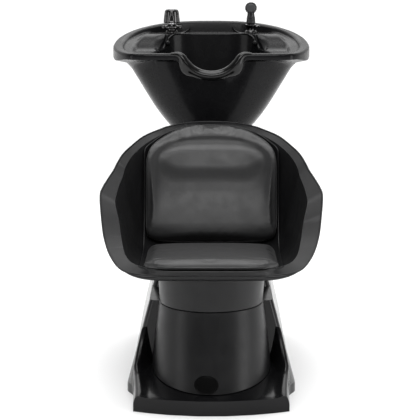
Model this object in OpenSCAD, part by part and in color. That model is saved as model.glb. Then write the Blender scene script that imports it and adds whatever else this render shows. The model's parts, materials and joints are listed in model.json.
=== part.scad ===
// Shampoo backwash unit: a bucket seat and a tilting basin on one moulded pedestal.
// X runs across the unit, Y from the seat's front lip to the basin's rear rim, Z up.
// The origin is on the floor, at the middle of the unit's length and width.

/* [Size] */
// Overall length, seat lip to basin rim
unit_len = 1140; // [1120:10:1180]
// Width across the armrests
arm_span = 632; // [620:4:650]
// Height of the basin's front rim
rim_z = 955; // [950:5:975]

/* [Seat] */
// Thickness of the seat cushion at its crown
seat_pad_t = 44; // [36:2:50]
// Thickness of the back cushion at its crown
back_pad_t = 46; // [36:2:54]
// Height of the shell's underside above the floor at the seat post
seat_z = 354; // [352:1:356]
// Distance of the seat post's axis in front of the origin
post_y = 200; // [190:5:205]

/* [Basin] */
// Width of the basin over its rim
rim_span = 624; // [600:4:640]
// Distance of the drain behind the origin
drain_y = 300; // [296:2:304]
// Depth of the neck notch in the rim
notch_d = 90; // [84:2:96]
// Width of the neck notch in the rim
notch_w = 232; // [228:2:236]
// Height of the tilt axis above the floor
pivot_z = 645; // [640:1:650]

/* [Fittings] */
// Distance of the mixer and the spray from the centre line
tap_x = 130; // [124:2:136]
// Distance of the mixer and the spray behind the origin
tap_y = 458; // [450:2:466]
// Radius of the mixer's bell knob
knob_r = 27; // [24:1:30]
// Outer radius of a half-inch water inlet
inlet_r = 10.48; // [10.3:0.01:10.6]
// Outer radius of the waste outlet pipe
waste_r = 20; // [18:1:22]
// Radius of a floor anchor hole
anchor_r = 6; // [5:0.5:7]

/* [Hidden] */
$fn = 48;

gap = 0.5;
front_y = -unit_len / 2;
rear_y = unit_len / 2;
arm_x = arm_span / 2;
rim_x = rim_span / 2;
plate_t = 6;
wall = 5;
seat_rake = 3.3;
black = [0.05, 0.05, 0.055];
satin = [0.11, 0.11, 0.12];
vinyl = [0.08, 0.08, 0.085];
steel = [0.62, 0.63, 0.65];
rubber = [0.03, 0.03, 0.03];
timber = [0.68, 0.52, 0.33];
plumbing = [0.86, 0.86, 0.84];
chrome = [0.3, 0.3, 0.33];

// ---------- curves and skins ----------

function lerp(a, b, t) = a + (b - a) * t;
function clamp01(t) = min(1, max(0, t));
function ease(t) = let (c = clamp01(t)) c * c * (3 - 2 * c);

// Catmull-Rom value at position s along a list of rows
function row_at(rows, s) =
    let (last = len(rows) - 1, i = min(last - 1, max(0, floor(s))), t = s - i,
        b = rows[i], c = rows[i + 1],
        a = i > 0 ? rows[i - 1] : 2 * b - c,
        d = i < last - 1 ? rows[i + 2] : 2 * c - b)
    0.5 * (2 * b + (c - a) * t + (2 * a - 5 * b + 4 * c - d) * t * t
        + (3 * b - a - 3 * c + d) * t * t * t);

// Closed solid over rings of equal length. cap is "fan", "ladder" or "loop".
module skin(rings, cap = "fan") {
    n = len(rings);
    m = len(rings[0]);
    points = [for (r = rings) each r];
    mids = cap == "fan" ? [mean(rings[0]), mean(rings[n - 1])] : [];
    span = cap == "loop" ? n : n - 1;
    sides = [for (i = [0:span - 1]) for (j = [0:m - 1])
        let (a = i * m + j, b = i * m + (j + 1) % m, k = ((i + 1) % n) * m, d = k + j, c = k + (j + 1) % m)
        each [[a, d, c], [a, c, b]]];
    top = (n - 1) * m;
    fans = cap != "fan" ? [] : [for (j = [0:m - 1]) let (q = (j + 1) % m)
        each [[n * m, j, q], [n * m + 1, top + q, top + j]]];
    rungs = cap != "ladder" ? [] : [for (j = [0:m / 2 - 2]) let (c = m - 2 - j, d = m - 1 - j)
        each [[j, j + 1, c], [j, c, d], [top + j, top + c, top + j + 1], [top + j, top + d, top + c]]];
    polyhedron(concat(points, mids), concat(sides, fans, rungs));
}

function mean(ring) = [for (k = [0:2]) sum([for (p = ring) p[k]]) / len(ring)];
function sum(v, i = 0) = i < len(v) - 1 ? v[i] + sum(v, i + 1) : v[i];
function flip(v) = [for (i = [len(v) - 1:-1:0]) v[i]];

// Rounded rectangle of points about [0, cy], counterclockwise
function slab(hw, y0, y1, r, z, k = 6) =
    let (q = min(r, hw - 1, (y1 - y0) / 2 - 1))
    [for (c = [[hw - q, y1 - q, 0], [q - hw, y1 - q, 90], [q - hw, y0 + q, 180], [hw - q, y0 + q, 270]])
        for (i = [0:k]) let (a = c[2] + 90 * i / k) [c[0] + q * cos(a), c[1] + q * sin(a), z]];

// Sends its children through the mesher, for booleans on skins
module meshed() resize([0, 0, 0]) children();

module tube(ro, ri, h) difference() {
    cylinder(r = ro, h = h);
    translate([0, 0, -1]) cylinder(r = ri, h = h + 2);
}

module hex_nut(flats, ri, h) difference() {
    cylinder(r = flats / sqrt(3), h = h, $fn = 6);
    translate([0, 0, -1]) cylinder(r = ri, h = h + 2);
}

// Screw with its head below z = 0 and its shank above
module screw(r, head_r, head_h, h) {
    translate([0, 0, -head_h]) cylinder(r = head_r, h = head_h);
    cylinder(r = r, h = h);
}

// ---------- seat shell ----------

// Each row is one station from the front lip to the top of the back:
// inner spine y z, inner rim x y z, outer rim x y z, outer spine y z
shell_rows = [
    [-570, 423, 152, -543, 422, 160, -540, 404, -558, 407],
    [-530, 404, 214, -482, 426, 239, -510, 411, -540, 391],
    [-480, 390, 240, -448, 443, 277, -470, 439, -480, 378],
    [-420, 383, 252, -412, 478, 300, -420, 484, -420, 366.6],
    [-360, 379, 262, -372, 528, 311, -375, 543, -360, 363.1],
    [-300, 375, 273, -345, 570, 316, -337, 592, -300, 359.7],
    [-230, 371, 272, -310, 590, 311, -305, 609, -230, 355.6],
    [-165, 369, 266, -262, 610, 299, -255, 626, -160, 352],
    [-112, 392, 258, -215, 628, 286, -205, 642, -95, 362],
    [-74, 450, 254, -172, 644, 276, -157, 659, -52, 430],
    [-36, 535, 243, -128, 662, 263, -112, 676, -16, 527],
    [0, 620, 224, -82, 680, 243, -66, 691, 22, 617],
    [36, 690, 188, -22, 702, 203, -4, 715, 58, 692],
    [70, 741, 132, 36, 724, 142, 50, 734, 85, 747]];
shell_last = len(shell_rows) - 1;
shell_steps = 3;
shell_side = 12;

// Steepness of the inner and the outer side walls at station s
function inner_power(s) = lerp(8, 2.5, ease((s - 8.5) / 4.5));
function outer_power(s) = lerp(6.5, 2.3, ease((s - 8.5) / 4.5));
width_k = arm_x / 316;
length_k = unit_len / 1140;

function shell_row(s) = row_at(shell_rows, s);

// Point of the shell's inner face, off mm in front of it
function inner_point(s, x, off) =
    let (r = shell_row(s), a = shell_row(max(0, s - 0.2)), b = shell_row(min(shell_last, s + 0.2)),
        ty = b[0] - a[0], tz = b[1] - a[1], l = norm([ty, tz]),
        w = pow(abs(x) / r[2], inner_power(s)))
    [x * width_k, (r[0] + (r[3] - r[0]) * w - off * tz / l) * length_k,
        r[1] + (r[4] - r[1]) * w + off * ty / l];

function outer_point(s, x) =
    let (r = shell_row(s), w = pow(abs(x) / r[5], outer_power(s)))
    [x * width_k, (r[8] + (r[6] - r[8]) * w) * length_k, r[9] + (r[7] - r[9]) * w];

// Sample positions across a half-width, closer together at the edges
function across(hw, n) = [for (i = [-n:n]) hw * sign(i) * pow(abs(i) / n, 0.7)];

module shell_form() {
    n = shell_last * shell_steps;
    skin([for (i = [0:n]) let (s = i / shell_steps, r = shell_row(s))
        concat([for (x = across(r[2], shell_side)) inner_point(s, x, 0)],
            [for (x = across(r[5], shell_side)) outer_point(s, -x)])], "ladder");
}

bolt_spots = [for (x = [-80, 80]) for (y = [-58, 58]) [x, y]];

// Frame whose XY plane lies on the shell's flat underside
module raked(z = 0) translate([0, -post_y, seat_z]) rotate([-seat_rake, 0, 0]) translate([0, 0, z]) children();

module seat_shell() color(satin) meshed() difference() {
    shell_form();
    raked(-3) for (p = bolt_spots) translate(p) cylinder(r = 4.4, h = 13, $fn = 16);
}

// Layer on the shell's inner face, from offset low(s) to offset high(s, t), t = 0 middle to 1 edge
insert_low = 1.8;
insert_high = 6.4;
board_low = 8.2;
board_high = 12.2;
pad_low = 13.6;

// Half-width of a layer at station s: at most hw, and inside the narrowing rim at both ends
function arch(s, hw, top) = min(hw, lerp(hw, shell_row(s)[2] - 14, s < 2 ? 1 : ease((s - top) / 1.2)));
function dome(t, power) = pow(max(0, 1 - pow(abs(t), power)), 1 / power);

module panel(s0, s1, n, hw, top, low, high, side) {
    skin([for (i = [0:n]) let (s = lerp(s0, s1, i / n), x1 = arch(s, hw, top))
        concat([for (x = across(x1, side)) inner_point(s, x, high)],
            [for (x = across(x1, side)) inner_point(s, -x, low)])], "ladder");
}

// Half-width of a cushion: its corners are drawn in, and its top end is an arch from station top on
function pad_width(s, s0, s1, hw, top) = let (v = 2 * (s - s0) / (s1 - s0) - 1)
    hw * lerp(0.9, 1, dome(v, 5)) * (s > top ? sqrt(max(0, 1 - pow((s - top) / 2.3, 2))) : 1);
// Height of a cushion's underside over the shell, lower behind the front lip
function pad_base(s) = lerp(8.8, pad_low, ease((s - 0.4) / 1.6));
// Point of a cushion up mm over its underside. Near the front lip up is vertical
function pad_point(s, x, up) = let (p = inner_point(s, x, pad_base(s)), q = inner_point(s, x, pad_base(s) + 1), k = ease((2.6 - s) / 1.6))
    p + up * lerp(q - p, [0, -0.2, 0.98], k);

module pad(s0, s1, n, hw, top, thick, side = 9) {
    skin([for (i = [0:n]) let (e = i / n, s = lerp(s0, s1, e), v = 2 * e - 1, x1 = pad_width(s, s0, s1, hw, top))
        concat([for (x = across(x1, side)) pad_point(s, x, thick * (0.25 + 0.75 * dome(v, 4) * dome(x / x1, 4)))],
            [for (x = across(x1, side)) pad_point(s, -x, 0)])], "ladder");
}

module shell_insert() color(satin) panel(0.35, 12.9, 34, 203, 10.8, insert_low, insert_high, 7);
module seat_cushion_board() color(timber) panel(2.2, 6.6, 8, 160, 20, board_low, board_high, 6);
module seat_cushion() color(vinyl) pad(0.45, 7.1, 22, 188, 20, seat_pad_t);
module back_cushion_board() color(timber) panel(9.1, 11.2, 8, 140, 20, board_low, board_high, 6);
module back_cushion() color(vinyl) pad(8.1, 12.8, 24, 197, 10.6, back_pad_t);

// ---------- pedestal ----------

collar_y = -290;
collar_low = 276;
collar_r = 150;
collar_top_r = 156;
cover_low = 43;
cover_y = -285;
cover_top = 274;
tray_z = 42;
block_z = 84;

// Half-width of the pedestal moulding at height z
function leg_x(z) = lerp(225, 163, pow(clamp01((z - 85) / 250), 1.15));

back_y = 345;
// Height, front y and narrowing of each ring of the moulding
housing_rings = [
    [85, -272, 0], [130, -272, 0], [180, -272, 0], [230, -272, 0], [269, -272, 0],
    [272, -122, 2], [300, -118, 2], [334, -110, 2], [341, 118, 50], [352, 128, 54], [470, 136, 58], [592, 142, 62]];

function housing_ring(q, inset) =
    slab(leg_x(min(q[0], 335)) - q[2] - inset, q[1] + inset, back_y - inset, 34 - inset,
        q[0] == 85 ? q[0] : q[0] - inset);

module pedestal_housing() color(black) meshed() difference() {
    skin(concat(flip([for (q = housing_rings) housing_ring(q, wall)]),
        [for (q = housing_rings) housing_ring(q, 0)]));
    translate([0, -post_y, 255]) cylinder(r = 44, h = 30, $fn = 40);
    translate([-84, 150, 560]) cube([168, 145, 60]);
    translate([-hatch_w / 2, 300, hatch_low]) cube([hatch_w, 80, hatch_h]);
    for (p = hatch_spots) translate([p[0], 330, p[1]]) rotate([-90, 0, 0]) cylinder(r = 2.7, h = 30, $fn = 16);
}

// Plate of the pedestal: a low tray in front, a raised block under the housing
function plate_x(y) = y < -350 ? lerp(221, 226, (y + 489) / 139) : y < -285
    ? lerp(226, 247, ease((y + 350) / 65)) : lerp(247, 224, ease((y + 285) / 480));
function ridge_x(y) = lerp(213, 225, ease((y + 489) / 220)) - 6 * ease((y - 100) / 250);
function ridge_z(y) = lerp(40, 85, ease((y + 500) / 240));
// Top of the plate between its ridges: a ramp that rises from the front edge to the housing
function ramp_z(y) = tray_z + 0.2 * max(0, y + 499 - 12 * exp(-max(0, y + 499) / 12));
function valley_z(y) = y < -283 ? ramp_z(y) : lerp(ramp_z(-283), block_z, ease((y + 283) / 6));
plate_ys = [-489, -484, -483.9, -470, -450, -420, -380, -345, -325, -305, -290, -283, -280, -277, -274, -262, -240, -180,
    -100, 0, 100, 200, 280, 339.9, 340, 345];
plate_bulge = 45;

// One cross-section, dropped by the wall thickness when hollow is 1
function plate_side(y, hollow) =
    let (t = hollow ? wall : 0, x0 = plate_x(y) - t, x1 = ridge_x(y) - t,
        v = valley_z(y), r = max(ridge_z(y), min(v + 4, 84.5)))
    [[x0, 0], [x0, 24 - t], [x1 + 3, r - 6 - t], [x1 - 3, r - t], [x1 - 12, r - t], [x1 - 23, lerp(r, v, 0.6) - t],
        [x1 - 34, v - t], [x1 - 90, v - t], [40, v - t]];

function plate_pull(x, y) = -plate_bulge * (1 - pow(x / 221, 2)) * (1 - ease((y + 489) / 190));

// Station of the plate whose pulled cross-section passes through x y
function unpulled(x, y, n = 8) = n == 0 ? y : y - plate_pull(x, unpulled(x, y, n - 1));

function plate_ring(y, solid) =
    let (up = plate_side(y, false), low = solid ? [for (p = up) [max(0, p[0] - wall), 0]] : plate_side(y, true),
        up_all = concat([for (p = up) [-p[0], p[1]]], flip(up)),
        low_all = concat([for (p = low) [-p[0], p[1]]], flip(low)))
    concat([for (p = up_all) [p[0], y + plate_pull(p[0], y), p[1]]],
        flip([for (p = low_all) [p[0], y + plate_pull(p[0], y), p[1]]]));

module floor_plate() color(black) meshed() difference() {
    skin([for (i = [0:len(plate_ys) - 1])
        plate_ring(plate_ys[i], i < 2 || i > len(plate_ys) - 3)], "ladder");
    translate([-150, -255, 30]) cube([300, 560, 80]);
    translate([0, 320, outlet_z]) rotate([-90, 0, 0]) cylinder(r = waste_r + 1, h = 60, $fn = 40);
}

// Shield-shaped cover round the front of the pedestal
function cover_point(a, z, t) =
    let (k = (cover_top - z) / (cover_top - cover_low), w = lerp(151, 178, pow(k, 0.8)) - t,
        l = lerp(152, 220, pow(k, 1.2)) - t)
    [w * sin(a), cover_y - l * cos(a), z];
// Height of the cover's lower edge, just over the ramp it stands on
function foot_z(a, n = 4) = n == 0 ? cover_low : let (p = cover_point(a, foot_z(a, n - 1), wall))
    1.2 + ramp_z(unpulled(p[0], p[1]));

module front_cover() color(satin) {
    skin([for (a = [90:-6:-90]) let (heights = [for (i = [0:8]) lerp(foot_z(a), cover_top, i / 8)])
        concat([for (z = heights) cover_point(a, z, 0)], [for (z = flip(heights)) cover_point(a, z, wall)])], "ladder");
}

// Oval plate on the cover's nose, left blank
badge_z = 78;
module oval_badge() color(black) translate([-14, cover_point(4.6, badge_z, 0)[1] - 1.2, badge_z]) rotate([72, 0, 0])
    resize([70, 52, 4]) cylinder(r = 30, h = 4, $fn = 48);

// Snap clips between the cover's rear edges and the housing
module cover_clips() color(steel) for (s = [-1, 1]) for (z = [140, 225])
    translate([s * (cover_point(90, z, wall)[0] - 14) - 5, -294, z]) cube([10, 21.5, 18]);

module seat_collar() color(satin) difference() {
    translate([0, collar_y, collar_low]) rotate_extrude()
        polygon([[collar_r - wall, 0], [collar_r, 0], [collar_top_r, 110], [collar_top_r - wall, 110]]);
    raked(mount_top) translate([-300, -400, 0]) cube([600, 800, 200]);
    raked(mount_top - mount_t - 1) translate([-mount_w / 2 - 1, -mount_l / 2 - 1, 0])
        cube([mount_w + 2, mount_l + 2, 200]);
}

// Floor plate of steel, with the two uprights of the basin column welded on
upright_x = 62;
upright_y = 176;
bracket_z = 596;
anchor_x = 130;
anchor_y0 = -180;
anchor_y1 = 260;
module steel_chassis() color(steel) difference() {
    union() {
        translate([-180, -400, 0]) cube([360, 730, plate_t]);
        for (s = [-1, 1]) translate([s * upright_x - 20, upright_y - 20, plate_t])
            cube([40, 40, bracket_z - plate_t]);
    }
    for (s = [-1, 1]) translate([s * upright_x - 17, upright_y - 17, plate_t]) cube([34, 34, bracket_z]);
    for (x = [-anchor_x, anchor_x]) for (y = [anchor_y0, anchor_y1])
        translate([x, y, -1]) cylinder(r = anchor_r, h = plate_t + 2);
}

mount_t = 6;
mount_top = -1;
mount_w = 200;
mount_l = 150;
module seat_post() color(steel) difference() {
    union() {
        translate([0, -post_y, plate_t]) tube(38, 34, 400);
        translate([0, -post_y, plate_t]) tube(62, 37, 10);
    }
    raked(mount_top - mount_t) translate([-300, -300, 0]) cube([600, 600, 300]);
}

module seat_mount_plate() color(steel) raked(mount_top - mount_t) difference() {
    translate([-mount_w / 2, -mount_l / 2, 0]) cube([mount_w, mount_l, mount_t]);
    for (p = bolt_spots) translate([p[0], p[1], -1]) cylinder(r = 4.3, h = mount_t + 2);
}

module seat_mount_bolts() color(chrome) raked(mount_top - mount_t)
    for (p = bolt_spots) translate(p) screw(4, 7, 5, mount_t + 9);

hatch_w = 110;
hatch_h = 310;
hatch_low = 120;
hatch_lap = 16;
hatch_spots = [for (s = [-1, 1]) for (z = [hatch_low + 20, hatch_low + hatch_h - 20]) [s * (hatch_w + hatch_lap) / 2, z]];
// Height of the two water inlets and of the waste outlet
inlet_z = 150;
inlet_x = 36;
outlet_z = 52;

module rear_hatch() color(black) difference() {
    translate([-hatch_w / 2 - hatch_lap, back_y + 1, hatch_low - hatch_lap])
        cube([hatch_w + 2 * hatch_lap, 4, hatch_h + 2 * hatch_lap]);
    for (s = [-1, 1]) translate([s * inlet_x, 320, inlet_z]) rotate([-90, 0, 0]) cylinder(r = 14, h = 60);
    for (p = hatch_spots) translate([p[0], 320, p[1]]) rotate([-90, 0, 0]) cylinder(r = 2.6, h = 60);
}

module hatch_screws() color(chrome) for (p = hatch_spots)
    translate([p[0], 350, p[1]]) rotate([90, 0, 0]) screw(2.5, 5, 2.5, 16);

// ---------- basin support ----------

ear_t = 8;
ear_in = 78;
cradle_x = 68;
pin_r = 8;
pin_fit = 0.06;

// Ear plate normal to X, round about the tilt axis, from its foot at height z
module ear(x, z, up) translate([x, drain_y, 0]) difference() {
    union() {
        translate([0, 0, pivot_z]) rotate([0, 90, 0]) cylinder(r = 22, h = ear_t);
        translate([0, -22, up ? z : pivot_z]) cube([ear_t, 44, abs(pivot_z - z)]);
    }
    translate([-1, 0, pivot_z]) rotate([0, 90, 0]) cylinder(r = pin_r + pin_fit, h = ear_t + 2);
}

bracket_spots = [for (x = [-1, 1]) [x * upright_x, upright_y]];
module bowl_bracket() color(steel) {
    difference() {
        translate([-100, upright_y - 24, bracket_z]) cube([200, drain_y + 40 - upright_y + 24, 8]);
        translate([0, drain_y, bracket_z - 1]) cylinder(r = 34, h = 10);
        for (p = bracket_spots) translate([p[0], p[1], bracket_z - 1]) cylinder(r = 5.2, h = 10);
    }
    ear(ear_in, bracket_z + 7.9, true);
    ear(-ear_in - ear_t, bracket_z + 7.9, true);
}

module bracket_bolts() color(chrome) for (p = bracket_spots)
    translate([p[0], p[1], bracket_z + 8]) mirror([0, 0, 1]) screw(5, 8, 6, 30);

module pivot_pins() color(steel) for (s = [0, 1]) mirror([s, 0, 0])
    translate([cradle_x - ear_t - 6, drain_y, pivot_z]) rotate([0, 90, 0]) {
        cylinder(r = 12, h = 5);
        cylinder(r = pin_r, h = 42);
    }

module pivot_washers() color(chrome) for (s = [0, 1]) mirror([s, 0, 0])
    translate([ear_in + ear_t + 0.2, drain_y, pivot_z]) rotate([0, 90, 0]) tube(15, pin_r + 0.1, 2);

module pivot_nut() color(chrome) translate([-ear_in - ear_t - 10.4, drain_y, pivot_z]) rotate([0, 90, 0])
    hex_nut(26, pin_r + 0.1, 8);

cradle_z = 684;
cradle_spots = [for (x = [-52, 52]) for (y = [-38, 38]) [x, y]];
module bowl_cradle() color(steel) {
    difference() {
        translate([-cradle_x, drain_y - 55, cradle_z]) cube([2 * cradle_x, 110, 6]);
        translate([0, drain_y, cradle_z - 1]) cylinder(r = 42, h = 8);
        for (p = cradle_spots) translate([p[0], drain_y + p[1], cradle_z - 1]) cylinder(r = 3.2, h = 8);
    }
    ear(cradle_x - ear_t, cradle_z + 0.1, false);
    ear(-cradle_x, cradle_z + 0.1, false);
}

module cradle_screws() color(chrome) for (p = cradle_spots)
    translate([p[0], drain_y + p[1], cradle_z]) screw(3, 6, 4, 14);

knob_in = ear_in + ear_t + 2.6;
module tilt_knob() color(rubber) translate([knob_in, drain_y, pivot_z]) rotate([0, 90, 0]) difference() {
    union() {
        cylinder(r = 13, h = 8);
        translate([0, 0, 7.9]) cylinder(r = 21, h = 16);
        for (a = [0:60:300]) rotate([0, 0, a]) translate([21, 0, 7.9]) cylinder(r = 5, h = 16);
    }
    translate([0, 0, -1]) cylinder(r = pin_r + pin_fit, h = 16);
}

// ---------- basin ----------

basin_mid = [0, drain_y];
rim_rise = 69;
// Half of the rim's outline, front middle to rear middle
rim_half = [[0, 108], [50, 108], [92, 108], [123, 108], [158, 108], [208, 110], [250, 124], [283, 185], [303, 265], [304, 335], [289, 410],
    [252, 478], [192, 530], [108, 562], [0, 570]];
edge_half = [[0, 152], [44, 152], [82, 152], [110, 152], [137, 153], [164, 157], [186, 175], [191, 210], [181, 256], [169, 305], [157, 352],
    [138, 398], [104, 424], [60, 438], [0, 440]];
ring_steps = 4;

function mirrored(half) = concat(half, [for (i = [len(half) - 2:-1:1]) [-half[i][0], half[i][1]]]);
function loop_at(pts, s) = let (n = len(pts), i = floor(s), t = s - i,
    a = pts[(i + n - 1) % n], b = pts[i % n], c = pts[(i + 1) % n], d = pts[(i + 2) % n])
    0.5 * (2 * b + (c - a) * t + (2 * a - 5 * b + 4 * c - d) * t * t + (3 * b - a - 3 * c + d) * t * t * t);
function outline(half) = let (pts = mirrored(half), n = len(pts) * ring_steps)
    [for (i = [0:n - 1]) loop_at(pts, i / ring_steps)];

rim_line = [for (p = outline(rim_half)) [p[0] * rim_x / 304, p[1] + (rear_y - 570) * clamp01((p[1] - 300) / 270)]];
edge_line = outline(edge_half);

function rim_height(y) = rim_z + rim_rise * pow(clamp01((y - 110) / 460), 1.9);
// Height of the deck inside the rim: a step in the middle, a long ramp at the sides
function deck_height(p) = let (k = ease((abs(p[0]) - 140) / 50))
    rim_z + lerp(-9, 36, ease((p[1] - lerp(372, 296, k)) / lerp(26, 120, k)));
// Drop of the front rim in the neck notch
function dip(p) = p[1] > 215 ? 0 : notch_d * pow(max(0, 1 - pow(2 * p[0] / notch_w, 4)), 1.2);
// Height of the rim's skirt, lower along the front
function skirt(p) = lerp(20, 38, ease((p[1] - 115) / 130));
// 0 along the front and rear, 1 along the sides
function flank(p) = ease((abs(p[0]) - 190) / 60);
function inset(p, t) = let (v = p - basin_mid) p - t * v / norm(v);

function rim_ring(t, drop) = [for (p = rim_line) let (q = inset(p, t))
    [q[0], q[1], rim_height(p[1]) - drop * skirt(p) / 38 - dip(q)]];
function deck_ring(t) = [for (p = rim_line) let (q = inset(p, t))
    [q[0], q[1], min(rim_height(p[1]) - 8, deck_height(q)) - dip(q)]];
// The inner edge. In the notch it lies lower on the basin's inner wall
function edge_ring(t, drop) = [for (i = [0:len(edge_line) - 1])
    let (p = edge_line[i], q = inset(p, t), r = wall_ring[i], u = dip(p) / (rim_z - 13 - r[2]))
    [lerp(q[0], r[0], u), lerp(q[1], r[1], u), deck_height(p) - drop - dip(p)]];
// Oval with a separate reach to the front and the rear, at the rim's own angles
function oval_ring(hw, yf, yr, nf, nr, z) = [for (p = rim_line)
    let (v = p - basin_mid, b = v[1] < 0 ? drain_y - yf : yr - drain_y, n = v[1] < 0 ? nf : nr,
        k = pow(pow(abs(v[0]) / hw, n) + pow(abs(v[1]) / b, n), -1 / n))
    [v[0] * k, drain_y + v[1] * k, z]];
// Top of the outer body. In the notch it lies lower on the same surface
function body_top_ring() = let (low = oval_ring(187, 168, 414, 2.7, 2.3, bowl_low + 92), top = oval_ring(254, 117, 448, 3.4, 2.4, 0))
    [for (i = [0:len(top) - 1]) let (p = top[i], r = low[i],
        z = lerp(rim_z - 5 - skirt(p) - 14 * flank(p), rim_z + 24, ease((p[1] - 380) / 60)), u = dip(p) / (z - r[2]))
        [lerp(p[0], r[0], u), lerp(p[1], r[1], u), z - dip(p)]];

hole_r = 26;
bowl_low = 691;
wall_ring = oval_ring(158, 178, 407, 2.7, 2.3, bowl_low + 98);
module bowl_form() skin([
    oval_ring(hole_r, drain_y - hole_r, drain_y + hole_r, 2, 2, bowl_low),
    oval_ring(108, 225, 372, 2.4, 2.2, bowl_low), oval_ring(122, 206, 386, 2.4, 2.2, bowl_low + 9),
    oval_ring(147, 190, 397, 2.5, 2.2, bowl_low + 36), oval_ring(187, 168, 414, 2.7, 2.3, bowl_low + 92),
    body_top_ring(), rim_under_ring(), rim_ring(1, 38), rim_ring(0, 35), rim_ring(0, 6),
    rim_ring(5, 0.5), rim_ring(16, 0), rim_ring(28, 1), rim_ring(35, 7), deck_ring(40),
    edge_ring(-6, 0), edge_ring(0, 4), wall_ring, oval_ring(118, 198, 390, 2.5, 2.2, bowl_low + 44),
    oval_ring(88, 222, 374, 2.4, 2.2, bowl_low + 18), oval_ring(50, 255, 345, 2, 2, bowl_low + 13),
    oval_ring(hole_r, drain_y - hole_r, drain_y + hole_r, 2, 2, bowl_low + 12)], "loop");
function rim_under_ring() = [for (p = rim_line) let (q = inset(p, 37))
    [q[0], q[1], min(rim_height(p[1]) - skirt(p) - 8 * flank(p), deck_height(q) - 8) - dip(q)]];

module bowl() color(black) meshed() difference() {
    bowl_form();
    for (s = [-1, 1]) translate([s * tap_x, tap_y, rim_z]) cylinder(r = 15, h = 60, $fn = 32);
    for (p = cradle_spots) translate([p[0], drain_y + p[1], bowl_low - 2]) cylinder(r = 3.4, h = 10, $fn = 16);
}

// Soft roll lining the neck notch
roll_r = 14;
roll_y = 124;
roll_half = notch_w / 2 - 24;
roll_deep = notch_d - roll_r - 4;
module neck_rest() color(rubber) {
    skin([for (i = [-16:16]) let (a = 90 * i / 16, taper = roll_r * (1 - 0.35 * pow(abs(i) / 16, 3)),
            c = [roll_half * sin(a), roll_y, rim_z - roll_deep * cos(a)], l = norm([roll_deep * sin(a), roll_half * cos(a)]),
            n = [-roll_deep * sin(a) / l, roll_half * cos(a) / l])
        [for (q = [0:22.5:337.5]) [c[0] + n[0] * taper * cos(q), c[1] - taper * 1.15 * sin(q), c[2] + n[1] * taper * cos(q)]]]);
}

throat_r = 19;
drain_top = bowl_low + 13;
module drain_flange() color(chrome) translate([0, drain_y, 0]) {
    difference() {
        union() {
            translate([0, 0, drain_top]) cylinder(r = 33, h = 2.5);
            translate([0, 0, 630]) cylinder(r = 23.5, h = drain_top - 630 + 0.1);
        }
        translate([0, 0, 629]) cylinder(r = throat_r, h = 100);
        translate([0, 0, drain_top - 4]) cylinder(r = 21.5, h = 10);
    }
}
module drain_gasket() color(rubber) translate([0, drain_y, bowl_low - 3]) tube(34, 24, 3);
module drain_lock_nut() color(plumbing) translate([0, drain_y, bowl_low - 16]) hex_nut(58, 24, 13);

module hair_strainer() color(steel) translate([0, drain_y, drain_top - 3.9]) difference() {
    union() {
        cylinder(r = 21.3, h = 2);
        translate([0, 0, 1.9]) cylinder(r = 2, h = 8);
        translate([0, 0, 9.8]) cylinder(r = 5, h = 4);
    }
    for (k = [1, 2]) for (a = [0:360 / (6 * k):359])
        rotate([0, 0, a]) translate([8 * k, 0, -1]) cylinder(r = 2, h = 4, $fn = 16);
}

// ---------- waste and supply ----------

trap_z = 330;
trap_y = 250;
module waste_trap() color(plumbing) translate([0, trap_y, trap_z]) difference() {
    union() {
        cylinder(r = 36, h = 120);
        translate([0, 0, 119]) cylinder(r = waste_r, h = 60);
        translate([0, 0, -40]) cylinder(r = waste_r, h = 41);
    }
    translate([0, 0, 4]) cylinder(r = 32, h = 112);
    translate([0, 0, 110]) cylinder(r = waste_r - 2.5, h = 80);
    translate([0, 0, -50]) cylinder(r = waste_r - 2.5, h = 60);
}
module trap_slip_nuts() color(plumbing) for (z = [trap_z + 125, trap_z - 30])
    translate([0, trap_y, z]) hex_nut(56, waste_r + 0.3, 18);

bend_r = 34;
module waste_outlet_pipe() color(plumbing) translate([0, trap_y, 0]) {
    translate([0, 0, outlet_z + bend_r]) tube(waste_r, waste_r - 2.5, trap_z - 41 - outlet_z - bend_r);
    translate([0, bend_r, outlet_z + bend_r]) rotate([90, 0, -90]) rotate_extrude(angle = 90)
        translate([bend_r, 0]) difference() {
            circle(r = waste_r);
            circle(r = waste_r - 2.5);
        }
    translate([0, bend_r, outlet_z]) rotate([-90, 0, 0]) tube(waste_r, waste_r - 2.5, 90);
}

// Nipple with a slimmer neck through the hatch and a full-size end for the hose
neck_len = 61;
end_len = 27;
module inlet_nipples() color(chrome) for (s = [-1, 1])
    translate([s * inlet_x, 300, inlet_z]) rotate([-90, 0, 0]) difference() {
        union() {
            cylinder(r = inlet_r - 0.7, h = neck_len + 1);
            translate([0, 0, neck_len]) cylinder(r = inlet_r, h = end_len);
        }
        translate([0, 0, -1]) cylinder(r = 7, h = neck_len + end_len + 2);
    }
module inlet_lock_nuts() color(steel) for (s = [-1, 1]) for (y = [335, 351])
    translate([s * inlet_x, y, inlet_z]) rotate([-90, 0, 0]) hex_nut(30, inlet_r + 0.3, 8);

// ---------- mixer and spray ----------

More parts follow.
